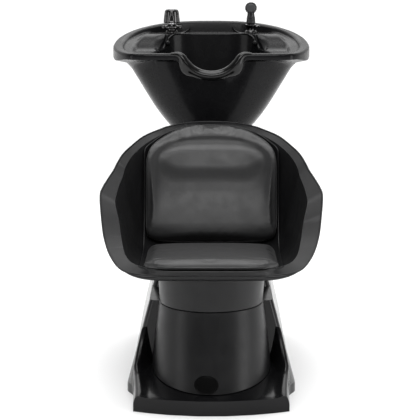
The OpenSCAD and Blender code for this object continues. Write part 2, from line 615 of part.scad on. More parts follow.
deck_top = rim_z + 36;
module mixer_body() color(chrome) translate([-tap_x, tap_y, deck_top]) {
    difference() {
        union() {
            translate([0, 0, -45]) cylinder(r = 13, h = 46);
            translate([0, 0, 0.5]) cylinder(r1 = 21, r2 = 17, h = 8);
            translate([0, 0, 8]) cylinder(r = 15, h = 22);
            translate([0, 0, 15]) cylinder(r = 24, h = 9);
            for (s = [-1, 1]) translate([s * 27, 0, 15]) cylinder(r = 6, h = 9);
        }
        translate([0, 0, 6]) cylinder(r = 8.06, h = 40);
    }
}
module mixer_gasket() color(rubber) translate([-tap_x, tap_y, deck_top - 21]) tube(20, 13.3, 2.5);
module mixer_lock_nut() color(steel) translate([-tap_x, tap_y, deck_top - 32]) hex_nut(34, 13.3, 10);
module mixer_stem() color(steel) translate([-tap_x, tap_y, deck_top]) {
    translate([0, 0, 16]) cylinder(r = 8, h = 34);
    translate([0, 0, 49.9]) cylinder(r = 5, h = 22);
}
module mixer_knob() color(chrome) translate([-tap_x, tap_y, deck_top + 33]) difference() {
    rotate_extrude() polygon([[0, 0], [knob_r - 1, 0], [knob_r, 3], [knob_r - 1.5, 16], [knob_r - 4, 40],
        [knob_r - 7, 44], [0, 45]]);
    translate([0, 0, -1]) cylinder(r = 20, h = 12);
    translate([0, 0, -1]) cylinder(r = 12, h = 20);
    translate([0, 0, -1]) cylinder(r = 5.06, h = 42);
    translate([0, 0, 43]) cylinder(r = 9, h = 4);
}
module knob_cap() color(steel) translate([-tap_x, tap_y, deck_top + 76]) cylinder(r = 8.9, h = 2.5);

module spray_holder() color(chrome) translate([tap_x, tap_y, deck_top]) {
    difference() {
        union() {
            translate([0, 0, -45]) cylinder(r = 13, h = 46);
            translate([0, 0, 0.5]) cylinder(r1 = 21, r2 = 17, h = 8);
            translate([0, 0, 8]) cylinder(r1 = 15, r2 = 18, h = 20);
            translate([12, -5, 16]) cube([17, 10, 9]);
        }
        translate([0, 0, -46]) cylinder(r = 9.5, h = 80);
        translate([0, 0, 9]) cylinder(r = 12.6, h = 30);
    }
}
module spray_gasket() color(rubber) translate([tap_x, tap_y, deck_top - 21]) tube(20, 13.3, 2.5);
module spray_holder_nut() color(steel) translate([tap_x, tap_y, deck_top - 32]) hex_nut(34, 13.3, 10);

handle_low = deck_top + 10;
module spray_handle() color(black) translate([tap_x, tap_y, handle_low]) difference() {
    rotate_extrude() polygon([[0, 0], [12.2, 0], [12.2, 18], [14.5, 24], [13, 40], [12, 52], [0, 52]]);
    translate([0, 0, -1]) cylinder(r = 6, h = 40);
}
module spray_hose_nut() color(chrome) translate([tap_x, tap_y, handle_low - 36]) tube(9, 5, 36);
head_z = handle_low + 72;
module spray_head() color(black) translate([tap_x, tap_y, head_z]) difference() {
    union() {
        translate([0, 8, 0]) rotate([90, 0, 0]) cylinder(r = 20, h = 20);
        translate([0, 0, -20]) cylinder(r = 11, h = 12);
    }
    translate([0, -8, 0]) rotate([90, 0, 0]) cylinder(r = 17, h = 10);
}
module spray_face() color(satin) translate([tap_x, tap_y - 8.1, head_z]) rotate([90, 0, 0]) difference() {
    cylinder(r = 16.8, h = 5.5);
    for (k = [1, 2]) for (a = [0:360 / (6 * k):359])
        rotate([0, 0, a]) translate([6 * k, 0, 2]) cylinder(r = 1.2, h = 8, $fn = 16);
}

steel_chassis();
floor_plate();
pedestal_housing();
front_cover();
cover_clips();
oval_badge();
seat_collar();
seat_post();
seat_mount_plate();
seat_mount_bolts();
seat_shell();
shell_insert();
seat_cushion_board();
seat_cushion();
back_cushion_board();
back_cushion();
rear_hatch();
hatch_screws();
bowl_bracket();
bracket_bolts();
pivot_pins();
pivot_washers();
pivot_nut();
waste_trap();
trap_slip_nuts();
waste_outlet_pipe();
inlet_nipples();
inlet_lock_nuts();
bowl();
neck_rest();
bowl_cradle();
cradle_screws();
drain_flange();
drain_gasket();
drain_lock_nut();
hair_strainer();
mixer_body();
mixer_gasket();
mixer_lock_nut();
mixer_stem();
mixer_knob();
knob_cap();
spray_holder();
spray_gasket();
spray_holder_nut();
spray_handle();
spray_head();
spray_face();
spray_hose_nut();
tilt_knob();
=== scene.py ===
import json
import math

import bmesh
import bpy
import numpy as np
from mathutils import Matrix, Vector
from mathutils.bvhtree import BVHTree


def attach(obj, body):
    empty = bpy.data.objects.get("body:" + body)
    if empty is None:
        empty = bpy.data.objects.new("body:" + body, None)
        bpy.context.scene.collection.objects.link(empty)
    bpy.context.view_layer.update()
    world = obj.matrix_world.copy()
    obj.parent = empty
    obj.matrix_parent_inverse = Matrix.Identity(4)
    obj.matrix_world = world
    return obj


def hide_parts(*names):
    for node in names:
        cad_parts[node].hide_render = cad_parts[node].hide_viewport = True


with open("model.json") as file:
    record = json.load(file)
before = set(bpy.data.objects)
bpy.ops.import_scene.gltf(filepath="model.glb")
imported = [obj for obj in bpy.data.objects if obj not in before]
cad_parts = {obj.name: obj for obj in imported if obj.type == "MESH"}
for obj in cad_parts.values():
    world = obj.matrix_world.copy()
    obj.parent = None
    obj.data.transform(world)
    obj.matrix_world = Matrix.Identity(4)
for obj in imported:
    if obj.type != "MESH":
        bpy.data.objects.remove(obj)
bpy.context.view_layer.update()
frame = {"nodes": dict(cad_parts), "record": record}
MM = 0.001

# ---------- curves, in millimetres ----------

SHELL = np.array([
    [-570, 423, 152, -543, 422, 160, -540, 404, -558, 407],
    [-530, 404, 214, -482, 426, 239, -510, 411, -540, 391],
    [-480, 390, 240, -448, 443, 277, -470, 439, -480, 378],
    [-420, 383, 252, -412, 478, 300, -420, 484, -420, 366.6],
    [-360, 379, 262, -372, 528, 311, -375, 543, -360, 363.1],
    [-300, 375, 273, -345, 570, 316, -337, 592, -300, 359.7],
    [-230, 371, 272, -310, 590, 311, -305, 609, -230, 355.6],
    [-165, 369, 266, -262, 610, 299, -255, 626, -160, 352],
    [-112, 392, 258, -215, 628, 286, -205, 642, -95, 362],
    [-74, 450, 254, -172, 644, 276, -157, 659, -52, 430],
    [-36, 535, 243, -128, 662, 263, -112, 676, -16, 527],
    [0, 620, 224, -82, 680, 243, -66, 691, 22, 617],
    [36, 690, 188, -22, 702, 203, -4, 715, 58, 692],
    [70, 741, 132, 36, 724, 142, 50, 734, 85, 747]], float)
LAST = len(SHELL) - 1


def lerp(a, b, t):
    return a + (b - a) * t


def ease(t):
    c = np.clip(t, 0, 1)
    return c * c * (3 - 2 * c)


def catmull(a, b, c, d, t):
    return 0.5 * (2 * b + (c - a) * t + (2 * a - 5 * b + 4 * c - d) * t**2 + (3 * b - a - 3 * c + d) * t**3)


def row_at(rows, s):
    """Catmull-Rom rows at positions s."""
    s = np.asarray(s, float)
    last = len(rows) - 1
    i = np.clip(np.floor(s).astype(int), 0, last - 1)
    b, c = rows[i], rows[i + 1]
    a = np.where((i > 0)[..., None], rows[np.maximum(i - 1, 0)], 2 * b - c)
    d = np.where((i < last - 1)[..., None], rows[np.minimum(i + 2, last)], 2 * c - b)
    return catmull(a, b, c, d, (s - i)[..., None])


def inner_point(s, x, off=0.0):
    s, x, off = np.broadcast_arrays(*(np.asarray(v, float) for v in (s, x, off)))
    r, a, b = row_at(SHELL, s), row_at(SHELL, np.maximum(s - 0.2, 0)), row_at(SHELL, np.minimum(s + 0.2, LAST))
    t = (b - a)[..., :2]
    t = t / np.linalg.norm(t, axis=-1, keepdims=True)
    w = (np.abs(x) / r[..., 2]) ** lerp(8, 2.5, ease((s - 8.5) / 4.5))
    return np.stack([x, r[..., 0] + (r[..., 3] - r[..., 0]) * w - off * t[..., 1],
                     r[..., 1] + (r[..., 4] - r[..., 1]) * w + off * t[..., 0]], -1)


def outer_point(s, x):
    s, x = np.broadcast_arrays(np.asarray(s, float), np.asarray(x, float))
    r = row_at(SHELL, s)
    w = (np.abs(x) / r[..., 5]) ** lerp(6.5, 2.3, ease((s - 8.5) / 4.5))
    return np.stack([x, r[..., 8] + (r[..., 6] - r[..., 8]) * w, r[..., 9] + (r[..., 7] - r[..., 9]) * w], -1)


def resample(points, n):
    """n points at equal steps along a polyline."""
    d = np.concatenate([[0], np.cumsum(np.linalg.norm(np.diff(points, axis=0), axis=1))])
    t = np.linspace(0, d[-1], n)
    return np.stack([np.interp(t, d, points[:, k]) for k in range(3)], -1)


def spread(half, n=500):
    """Dense sample positions over -half..half, close together at the ends."""
    u = np.linspace(-1, 1, n)
    return half * np.sign(u) * np.abs(u) ** 0.6


def rounded(points, r, k=4):
    """A polyline with its inner corners replaced by small arcs."""
    p = np.asarray(points, float)
    out = [p[0]]
    for i in range(1, len(p) - 1):
        back, on = p[i - 1] - p[i], p[i + 1] - p[i]
        lb, lo = np.linalg.norm(back), np.linalg.norm(on)
        q = min(r, 0.45 * lb, 0.45 * lo)
        a, b = p[i] + back / lb * q, p[i] + on / lo * q
        for t in np.linspace(0, 1, k + 1):
            out.append((1 - t) ** 2 * a + 2 * t * (1 - t) * p[i] + t * t * b)
    out.append(p[-1])
    return np.array(out)


# ---------- meshes ----------

def grid(n, m, loop=False):
    idx = np.arange(n * m).reshape(n, m)
    a = idx if loop else idx[:-1]
    d = np.roll(idx, -1, 0) if loop else idx[1:]
    return np.stack([a, np.roll(a, -1, 1), np.roll(d, -1, 1), d], -1).reshape(-1, 4).tolist()


def piece(name, verts, faces, look, body, slot=None, bevel=0.0, angle=38, segments=3, replaces=()):
    """Scene object from points in millimetres, on its body, with a bevel or else sharp edges."""
    me = bpy.data.meshes.new(name)
    me.from_pydata((np.asarray(verts, float) * MM).tolist(), [], faces)
    bm = bmesh.new()
    bm.from_mesh(me)
    bmesh.ops.remove_doubles(bm, verts=bm.verts, dist=1e-6)
    bmesh.ops.recalc_face_normals(bm, faces=bm.faces)
    bm.to_mesh(me)
    bm.free()
    me.polygons.foreach_set("use_smooth", [True] * len(me.polygons))
    ob = bpy.data.objects.new(name, me)
    bpy.context.scene.collection.objects.link(ob)
    me.materials.append(look)
    if bevel:
        b = ob.modifiers.new("bevel", "BEVEL")
        b.width, b.segments, b.limit_method, b.angle_limit = bevel * MM, segments, "ANGLE", math.radians(angle)
        b.miter_outer = "MITER_ARC"
        ob.modifiers.new("normals", "WEIGHTED_NORMAL")
    else:
        me.set_sharp_from_angle(angle=math.radians(50))
    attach(ob, body)
    if replaces:
        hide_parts(*replaces)
    return ob


def stack(name, rings, look, body, cap="fan", **kw):
    """Skin over closed rings of equal length."""
    r = np.asarray(rings, float)
    n, m = r.shape[:2]
    verts = r.reshape(-1, 3)
    faces = grid(n, m, cap == "loop")
    top = (n - 1) * m
    if cap == "fan":
        verts = np.concatenate([verts, [r[0].mean(0), r[-1].mean(0)]])
        for j in range(m):
            q = (j + 1) % m
            faces += [[n * m, q, j], [n * m + 1, top + j, top + q]]
    if cap == "ladder":
        for j in range(m // 2 - 1):
            c, d = m - 2 - j, m - 1 - j
            faces += [[j, d, c, j + 1], [top + j, top + j + 1, top + c, top + d]]
    return piece(name, verts, faces, look, body, **kw)


def lathe(name, profile, origin, look, body, axis="Z", n=72, r=0.8, shape=None, **kw):
    """Body of revolution about +Z or -Y, from (radius, height) points. shape(a, rad, h) may change a radius."""
    p = rounded(profile, r)
    a = np.linspace(0, 2 * math.pi, n, endpoint=False)
    rings = []
    for rad, h in p:
        rr = np.full(n, max(rad, 0.02))
        if shape is not None:
            rr = shape(a, rr, h)
        x, y, z = rr * np.cos(a), rr * np.sin(a), np.full(n, h)
        ring = np.stack([x, y, z] if axis == "Z" else [x, -z, y], -1)
        rings.append(ring + np.asarray(origin, float))
    return stack(name, rings, look, body, **kw)


def tube(name, path, radius, look, body, n=12, closed=False, **kw):
    """Round tube along a path. radius is one number or one for each point."""
    p = np.asarray(path, float)
    rad = np.broadcast_to(np.asarray(radius, float), (len(p),))
    t = np.roll(p, -1, 0) - np.roll(p, 1, 0) if closed else np.gradient(p, axis=0)
    t = t / np.linalg.norm(t, axis=1, keepdims=True)
    up = np.array([0, 0, 1.0])
    if np.abs(t @ up).max() > 0.97:
        up = np.array([0, 1.0, 0])
    u = np.cross(t, up)
    u = u / np.linalg.norm(u, axis=1, keepdims=True)
    v = np.cross(t, u)
    a = np.linspace(0, 2 * math.pi, n, endpoint=False)
    rings = p[:, None] + rad[:, None, None] * (u[:, None] * np.cos(a)[None, :, None]
                                               + v[:, None] * np.sin(a)[None, :, None])
    return stack(name, rings, look, body, cap="loop" if closed else "fan", **kw)


# ---------- materials ----------

def build_material(name, low, high, rough, metallic=0.0, specular=0.5, coat=0.0, coat_rough=0.1, sheen=0.0,
                   grain=0.0, grain_scale=600.0, peel=0.0, peel_scale=60.0, cells=0.0, cell_scale=500.0,
                   smear=6.0, wear=0.0, aniso=0.0):
    """Principled material. Colour and roughness drift with soft noise; grain, orange peel and cells are bumps."""
    mat = bpy.data.materials.new(name)
    mat.use_nodes = True
    nt = mat.node_tree
    bsdf = nt.nodes["Principled BSDF"]
    add, link = nt.nodes.new, nt.links.new
    coord = add("ShaderNodeTexCoord")

    def noise(scale, detail=3.0, rough_=0.55):
        n = add("ShaderNodeTexNoise")
        n.inputs["Scale"].default_value = scale
        n.inputs["Detail"].default_value = detail
        n.inputs["Roughness"].default_value = rough_
        link(coord.outputs["Object"], n.inputs["Vector"])
        return n.outputs["Fac"]

    def span(value, a, b, lo=0.3, hi=0.7):
        m = add("ShaderNodeMapRange")
        m.inputs["From Min"].default_value, m.inputs["From Max"].default_value = lo, hi
        m.inputs["To Min"].default_value, m.inputs["To Max"].default_value = a, b
        link(value, m.inputs["Value"])
        return m.outputs["Result"]

    mix = add("ShaderNodeMix")
    mix.data_type = "RGBA"
    mix.inputs["A"].default_value, mix.inputs["B"].default_value = (*low, 1), (*high, 1)
    link(span(noise(smear, 4.0), 0.0, 1.0), mix.inputs["Factor"])
    colour = mix.outputs["Result"]
    if wear:
        geo = add("ShaderNodeNewGeometry")
        edge = add("ShaderNodeMix")
        edge.data_type = "RGBA"
        link(span(geo.outputs["Pointiness"], 0.0, wear, 0.53, 0.62), edge.inputs["Factor"])
        link(colour, edge.inputs["A"])
        edge.inputs["B"].default_value = (*[min(1, 4 * c + 0.03) for c in high], 1)
        colour = edge.outputs["Result"]
    link(colour, bsdf.inputs["Base Color"])
    link(span(noise(smear * 5, 5.0), rough[0], rough[1]), bsdf.inputs["Roughness"])
    bsdf.inputs["Metallic"].default_value = metallic
    bsdf.inputs["Specular IOR Level"].default_value = specular
    bsdf.inputs["Coat Weight"].default_value = coat
    bsdf.inputs["Coat Roughness"].default_value = coat_rough
    bsdf.inputs["Sheen Weight"].default_value = sheen
    bsdf.inputs["Anisotropic"].default_value = aniso
    normal = None
    for amount, source, depth in ((peel, lambda: noise(peel_scale, 2.0), 0.0006),
                                  (grain, lambda: noise(grain_scale, 3.0, 0.6), 0.00012)):
        if amount:
            b = add("ShaderNodeBump")
            b.inputs["Strength"].default_value, b.inputs["Distance"].default_value = amount, depth
            link(source(), b.inputs["Height"])
            if normal:
                link(normal, b.inputs["Normal"])
            normal = b.outputs["Normal"]
    if cells:
        v = add("ShaderNodeTexVoronoi")
        v.feature = "SMOOTH_F1"
        v.inputs["Scale"].default_value = cell_scale
        link(coord.outputs["Object"], v.inputs["Vector"])
        b = add("ShaderNodeBump")
        b.inputs["Strength"].default_value, b.inputs["Distance"].default_value = cells, 0.0003
        link(v.outputs["Distance"], b.inputs["Height"])
        if normal:
            link(normal, b.inputs["Normal"])
        normal = b.outputs["Normal"]
    if normal:
        link(normal, bsdf.inputs["Normal"])
    return mat


LOOKS = {
    "gloss_black": build_material("gloss_black", (.0035, .0035, .004), (.006, .006, .0065), (.16, .25), specular=.17,
                                  coat=.12, coat_rough=.08, peel=.05, peel_scale=45, grain=.06, wear=.25),
    "basin_black": build_material("basin_black", (.0035, .0035, .004), (.006, .006, .0065), (.23, .31), specular=.1,
                                  coat=.1, coat_rough=.1, peel=.05, peel_scale=45, grain=.06, wear=.25),
    "badge_black": build_material("badge_black", (.002, .002, .002), (.003, .003, .003), (.25, .35), specular=.06,
                                  grain=.1),
    "satin_black": build_material("satin_black", (.0045, .0045, .005), (.008, .008, .0085), (.33, .43), specular=.27,
                                  grain=.45, grain_scale=900, peel=.04, peel_scale=30, wear=.3),
    "black_vinyl": build_material("black_vinyl", (.006, .006, .0065), (.01, .01, .0105), (.40, .50), specular=.5,
                                  sheen=.04, cells=.22, cell_scale=620, grain=.3, grain_scale=1500, peel=.10,
                                  peel_scale=16),
    "plywood": build_material("plywood", (.42, .28, .15), (.6, .44, .27), (.5, .7), grain=.6, grain_scale=300,
                              smear=22),
    "frame_steel": build_material("frame_steel", (.015, .015, .016), (.03, .03, .032), (.42, .55), peel=.4,
                                  peel_scale=420, wear=.5),
    "zinc_steel": build_material("zinc_steel", (.45, .45, .47), (.62, .62, .63), (.28, .42), metallic=1.0, grain=.5,
                                 grain_scale=800, smear=90, aniso=.3),
    "black_chrome": build_material("black_chrome", (.05, .05, .052), (.085, .083, .083), (.07, .14), metallic=1.0,
                                   grain=.05, peel=.03, peel_scale=80, wear=.3),
    "bright_chrome": build_material("bright_chrome", (.62, .62, .64), (.75, .75, .77), (.06, .13), metallic=1.0,
                                    grain=.05, peel=.03, peel_scale=80),
    "white_plastic": build_material("white_plastic", (.66, .66, .63), (.78, .78, .75), (.32, .45), peel=.1, grain=.2),
    "soft_black": build_material("soft_black", (.002, .002, .002), (.004, .004, .004), (.1, .17), specular=.3,
                                 peel=.06, peel_scale=40, grain=.15, grain_scale=900),
    "black_rubber": build_material("black_rubber", (.009, .009, .009), (.018, .018, .018), (.5, .65), grain=.6,
                                   grain_scale=700),
    "spray_black": build_material("spray_black", (.006, .006, .0065), (.011, .011, .012), (.14, .24), specular=.5,
                                  peel=.06, grain=.1),
    "spray_grey": build_material("spray_grey", (.035, .035, .038), (.06, .06, .063), (.3, .42), grain=.4,
                                 grain_scale=900),
}

# CAD nodes that stay as they are take their slot's look, with softened edges
for sub in frame["record"]["subparts"]:
    node = frame["nodes"][sub["node"]]
    node.data.materials.clear()
    node.data.materials.append(LOOKS[sub["material_slot"]])
    soft = node.modifiers.new("bevel", "BEVEL")
    soft.width, soft.segments, soft.limit_method, soft.angle_limit = 0.0005, 2, "ANGLE", math.radians(40)

# ---------- seat shell and insert ----------

ACROSS = 97  # points across the shell's inner and outer face
STATIONS = 131
INSERT_HALF, INSERT_TOP = 203, 10.8


def shell_section(s):
    r = row_at(SHELL, s)
    inside, outside = inner_point(s, spread(r[2])), outer_point(s, -spread(r[5]))
    return np.concatenate([resample(inside, ACROSS), resample(outside, ACROSS)])


stack("chair_shell", [shell_section(s) for s in np.linspace(0, LAST, STATIONS)], LOOKS["satin_black"], "base",
      cap="ladder", slot="satin_black", bevel=3.2, angle=33, segments=4, replaces=["seat_shell"])

# Rolled bead along the shell's outer rim
edge = row_at(SHELL, np.linspace(0, LAST, STATIONS))[:, 5:8]
front = outer_point(0.0, np.linspace(-1, 1, 41)[1:-1] * SHELL[0][5])
rear = outer_point(float(LAST), -np.linspace(-1, 1, 41)[1:-1] * SHELL[-1][5])
mirror = np.array([-1, 1, 1])
bead = np.concatenate([front, edge, rear, (edge * mirror)[::-1]])
tube("shell_rim_bead", bead, 2.6, LOOKS["satin_black"], "base", closed=True, slot="satin_black")


def arch(s, hw, top):
    return min(hw, lerp(hw, row_at(SHELL, s)[2] - 14, 1 if s < 2 else ease((s - top) / 1.2)))


def dome(t, power):
    return np.maximum(0, 1 - np.abs(t) ** power) ** (1 / power)


def panel_rings(s0, s1, n, hw, top, low, high, m=61):
    rings = []
    for s in np.linspace(s0, s1, n):
        x = spread(arch(s, hw, top))
        rings.append(np.concatenate([resample(inner_point(s, x, high), m), resample(inner_point(s, -x, low), m)]))
    return rings


stack("seat_insert", panel_rings(0.35, 12.9, 121, INSERT_HALF, INSERT_TOP, 1.8, 6.4), LOOKS["satin_black"],
      "base", cap="ladder", slot="satin_black", bevel=1.6, angle=40, replaces=["shell_insert"])

# Raised bead down each side of the insert
for side, sx in (("left", -1), ("right", 1)):
    line = [inner_point(s, arch(s, INSERT_HALF, INSERT_TOP) - 1.5, 6.2) * [sx, 1, 1]
            for s in np.linspace(.6, 12.6, 150)]
    tube("insert_bead_" + side, line, 2.0, LOOKS["satin_black"], "base", slot="satin_black")

# ---------- cushions ----------

CLOTH_FRAMES = 20
VOXEL = 0.005
RESTING, FREE = 0.002, 0.012  # the cover stays down this near the insert, and moves fully that much further out

def puff(ob, floor_rings, pressure, cap):
    """Blows the cover up as cloth under a little pressure. What rests on the insert stays down."""
    bpy.context.view_layer.objects.active = ob
    for m in list(ob.modifiers):
        ob.modifiers.remove(m)
    remesh = ob.modifiers.new("remesh", "REMESH")
    remesh.mode, remesh.voxel_size, remesh.use_smooth_shade = "VOXEL", VOXEL, True
    bpy.ops.object.modifier_apply(modifier=remesh.name)
    start = np.array([v.co for v in ob.data.vertices])
    cloth = ob.modifiers.new("cloth", "CLOTH")
    cloth.settings.use_pressure = True
    cloth.settings.uniform_pressure_force = pressure
    cloth.settings.mass = 0.3
    cloth.settings.tension_stiffness = cloth.settings.compression_stiffness = 12
    cloth.settings.effector_weights.gravity = 0
    cloth.collision_settings.use_collision = False
    scene = bpy.context.scene
    for f in range(1, CLOTH_FRAMES + 1):
        scene.frame_set(f)
    puffed = ob.evaluated_get(bpy.context.evaluated_depsgraph_get()).to_mesh()
    end = np.array([v.co for v in puffed.vertices])
    ob.modifiers.remove(cloth)
    scene.frame_set(1)
    move = end - start
    length = np.linalg.norm(move, axis=1, keepdims=True)
    move *= cap * np.tanh(length / cap) / np.maximum(length, 1e-9)
    low = np.asarray(floor_rings).reshape(-1, 3) * MM
    tree = BVHTree.FromPolygons(low.tolist(), grid(len(floor_rings), len(floor_rings[0])))
    near = np.array([tree.find_nearest(Vector(p))[3] for p in start])
    ob.data.vertices.foreach_set("co", (start + move * ease((near - RESTING) / FREE)[:, None]).ravel())
    ob.data.update()


def pad_point(s, x, up):
    """Point of a cushion up mm over its underside. Near the front lip up is vertical."""
    base = lerp(8.8, 13.6, ease((s - 0.4) / 1.6))
    p, q = inner_point(s, x, base), inner_point(s, x, base + 1)
    return p + np.asarray(up)[..., None] * lerp(q - p, np.array([0, -0.2, 0.98]), ease((2.6 - s) / 1.6))


def cushion(name, node, s0, s1, hw, top, thick, nose, pressure, cap):
    def width(s):
        corner = lerp(0.9, 1, dome(2 * (s - s0) / (s1 - s0) - 1, 5))
        return hw * corner * (math.sqrt(max(0, 1 - ((s - top) / 2.3) ** 2)) if s > top else 1)

    rings, bed = [], []
    for e in (1 - np.cos(np.linspace(0, math.pi, 72))) / 2:
        s, v = lerp(s0, s1, e), 2 * e - 1
        x = spread(width(s))
        rise = thick * (0.16 + 0.84 * dome(v, nose if v < 0 else 4) * dome(x / x[-1], 3.6))
        rings.append(np.concatenate([resample(pad_point(s, x, rise), 61), resample(pad_point(s, -x, 0 * x), 61)]))
        bed.append(resample(pad_point(s, x * 1.04, 0 * x), 61))
    ob = stack(name, rings, LOOKS["black_vinyl"], "base", cap="ladder", slot="black_vinyl", replaces=[node])
    puff(ob, bed, pressure, cap)
    ob.modifiers.new("subsurf", "SUBSURF").render_levels = 1
    ob.data.polygons.foreach_set("use_smooth", [True] * len(ob.data.polygons))
    # sewn seam round the side wall, as one thin tube
    s = np.linspace(s0 + .12, s1 - .06, 90)
    side = [pad_point(q, np.array(width(q) + 6), 9) for q in s]
    ends = [[pad_point(q, np.array(x), 9) for x in np.linspace(-1, 1, 60)[1:-1] * (p[0] - 8)]
            for q, p in ((s0 - .02, side[0]), (s1 + .02, side[-1]))]
    loop = np.array(ends[0] + side + ends[1][::-1] + [p * mirror for p in side[::-1]])
    mesh = ob.evaluated_get(bpy.context.evaluated_depsgraph_get())
    tree = BVHTree.FromObject(mesh, bpy.context.evaluated_depsgraph_get())
    loop = np.array([tree.find_nearest(Vector(p * MM))[0] for p in loop]) / MM
    for _ in range(6):
        loop = 0.5 * loop + 0.25 * (np.roll(loop, 1, 0) + np.roll(loop, -1, 0))
    tube(name + "_seam", loop, 1.1, LOOKS["black_vinyl"], "base", n=8, closed=True, slot="black_vinyl")


cushion("seat_pad", "seat_cushion", 0.45, 7.1, 188, 20, 41, 2.7, 3.0, 0.006)
cushion("back_pad", "back_cushion", 8.1, 12.8, 197, 10.6, 42, 4, 3.0, 0.007)
for node in ("seat_cushion_board", "back_cushion_board"):
    frame["nodes"][node].modifiers.clear()

# ---------- pedestal ----------

def leg_x(z):
    return lerp(225, 163, np.clip((z - 85) / 250, 0, 1) ** 1.15)


def slab(hw, y0, y1, r, z, k=10, r_front=None):
    f = r if r_front is None else r_front
    out = []
    for cx, cy, a0, q in ((hw - r, y1 - r, 0, r), (r - hw, y1 - r, 90, r),
                          (f - hw, y0 + f, 180, f), (hw - f, y0 + f, 270, f)):
        for i in range(k + 1):
            a = math.radians(a0 + 90 * i / k)
            out.append([cx + q * math.cos(a), cy + q * math.sin(a), z])
    return out


rings = [(z, -272, 0) for z in np.linspace(85, 269, 24)] + [
    (272, -122, 2), (300, -118, 2), (334, -110, 2), (341, 118, 50), (352, 128, 54), (470, 136, 58), (592, 142, 62)]
outer = [slab(leg_x(min(z, 335)) - n, y, 345, 34, z, r_front=22 if z < 271 else 34) for z, y, n in rings]
inner = [slab(leg_x(min(z, 335)) - n - 5, y + 5, 340, 29, z if z == 85 else z - 5, r_front=17 if z < 271 else 29)
         for z, y, n in rings]
housing = stack("pedestal_body", inner[::-1] + outer, LOOKS["gloss_black"], "base", slot="gloss_black",
                replaces=["pedestal_housing"])


def cut(ob, boxes):
    """Takes boxes out of a piece, in millimetres."""
    for lo, hi in boxes:
        bm = bmesh.new()
        bmesh.ops.create_cube(bm, size=1)
        for v in bm.verts:
            v.co = Vector([(lo[k] if v.co[k] < 0 else hi[k]) * MM for k in range(3)])
        me = bpy.data.meshes.new("cutter")
        bm.to_mesh(me)
        bm.free()
        tool = bpy.data.objects.new("cutter", me)
        bpy.context.scene.collection.objects.link(tool)
        b = ob.modifiers.new("cut", "BOOLEAN")
        b.operation, b.object, b.solver = "DIFFERENCE", tool, "EXACT"
        bpy.context.view_layer.objects.active = ob
        bpy.ops.object.modifier_apply(modifier=b.name)
        bpy.data.objects.remove(tool)


cut(housing, [((-84, 150, 560), (84, 295, 620)), ((-55, 300, 120), (55, 380, 430))])
housing.data.set_sharp_from_angle(angle=math.radians(180))
b = housing.modifiers.new("bevel", "BEVEL")
b.width, b.segments, b.limit_method, b.angle_limit = 0.004, 3, "ANGLE", math.radians(40)
housing.modifiers.new("normals", "WEIGHTED_NORMAL")


def plate_x(y):
    return np.where(y < -350, lerp(221, 226, (y + 489) / 139),
                    np.where(y < -285, lerp(226, 247, ease((y + 350) / 65)), lerp(247, 224, ease((y + 285) / 480))))


def ramp_z(y):
    """Top of the plate between its ridges, from the front edge up to the housing."""
    reach = np.maximum(0, y + 499)
    return 42 + 0.2 * np.maximum(0, reach - 12 * np.exp(-reach / 12))


def plate_pull(x, y):
    return -45 * (1 - (x / 221) ** 2) * (1 - ease((y + 489) / 190))


def plate_section(y):
    x0, x1 = float(plate_x(y)), 213 + 12 * ease((y + 489) / 220) - 6 * ease((y - 100) / 250)
    x1 = min(x1, x0 - 5)
    v = ramp_z(y) if y < -283 else lerp(ramp_z(-283.0), 84, ease((y + 283) / 6))
    r = max(lerp(40, 85, ease((y + 500) / 240)), min(v + 4, 84.5))
    if y < -272:  # the ridge sweeps up into the leg behind it
        r += 105 * max(0, (y + 375) / 103) ** 2.4
        x1 = min(x1, float(leg_x(r)) - 1)
    p = np.array([[x0, 0], [x0, 24], [x1 + 3, r - 6], [x1 - 3, r], [x1 - 12, r], [x1 - 23, lerp(r, v, 0.6)],
                  [x1 - 34, v], [x1 - 90, v], [40, v]])
    p = rounded(p, 6)
    full = np.concatenate([p * [-1, 1], p[::-1]])
    pull = plate_pull(full[:, 0], y)
    top = np.stack([full[:, 0], y + pull, full[:, 1]], -1)
    low = top.copy()
    low[:, 2] = 0
    low[:, 0] *= 0.98
    return np.concatenate([top, low[::-1]])


ys = np.unique(np.concatenate([np.linspace(-489, -290, 40), np.linspace(-288, -272.2, 9), [-271.8, -266],
                               np.linspace(-262, 345, 60)]))
stack("foot_plate", [plate_section(y) for y in ys], LOOKS["gloss_black"], "base", cap="ladder", slot="gloss_black",
      bevel=3.5, angle=48, segments=4, replaces=["floor_plate"])


def shield_fall(z):
    """0 at the shield's top, 1 at its foot."""
    return (274 - z) / 231


def shield_half(z):
    return lerp(151, 178, shield_fall(z) ** 0.8)


def cover_point(a, z, t=0.0):
    w, reach = shield_half(z) - t, lerp(152, 220, shield_fall(z) ** 1.2) - t
    return np.stack([w * np.sin(a), -285 - reach * np.cos(a), z + 0 * a], -1)


def foot_z(a):
    """Height of the cover's lower edge, just over the ramp it stands on."""
    z = 43.0
    for _ in range(6):
        x, y, _z = cover_point(np.array(a), z, 5)
        at = y
        for _ in range(8):
            at = y - plate_pull(x, at)
        z = 1.2 + float(ramp_z(at))
    return z


cols = []
for a in np.radians(np.linspace(90, -90, 121)):
    heights = np.linspace(foot_z(a), 273.4, 50)
    cols.append(np.concatenate([cover_point(np.full(50, a), heights, 0),
                                cover_point(np.full(50, a), heights[::-1], 5)]))
stack("front_shield", cols, LOOKS["satin_black"], "base", cap="ladder", slot="satin_black", bevel=1.6, angle=50,
      replaces=["front_cover"])

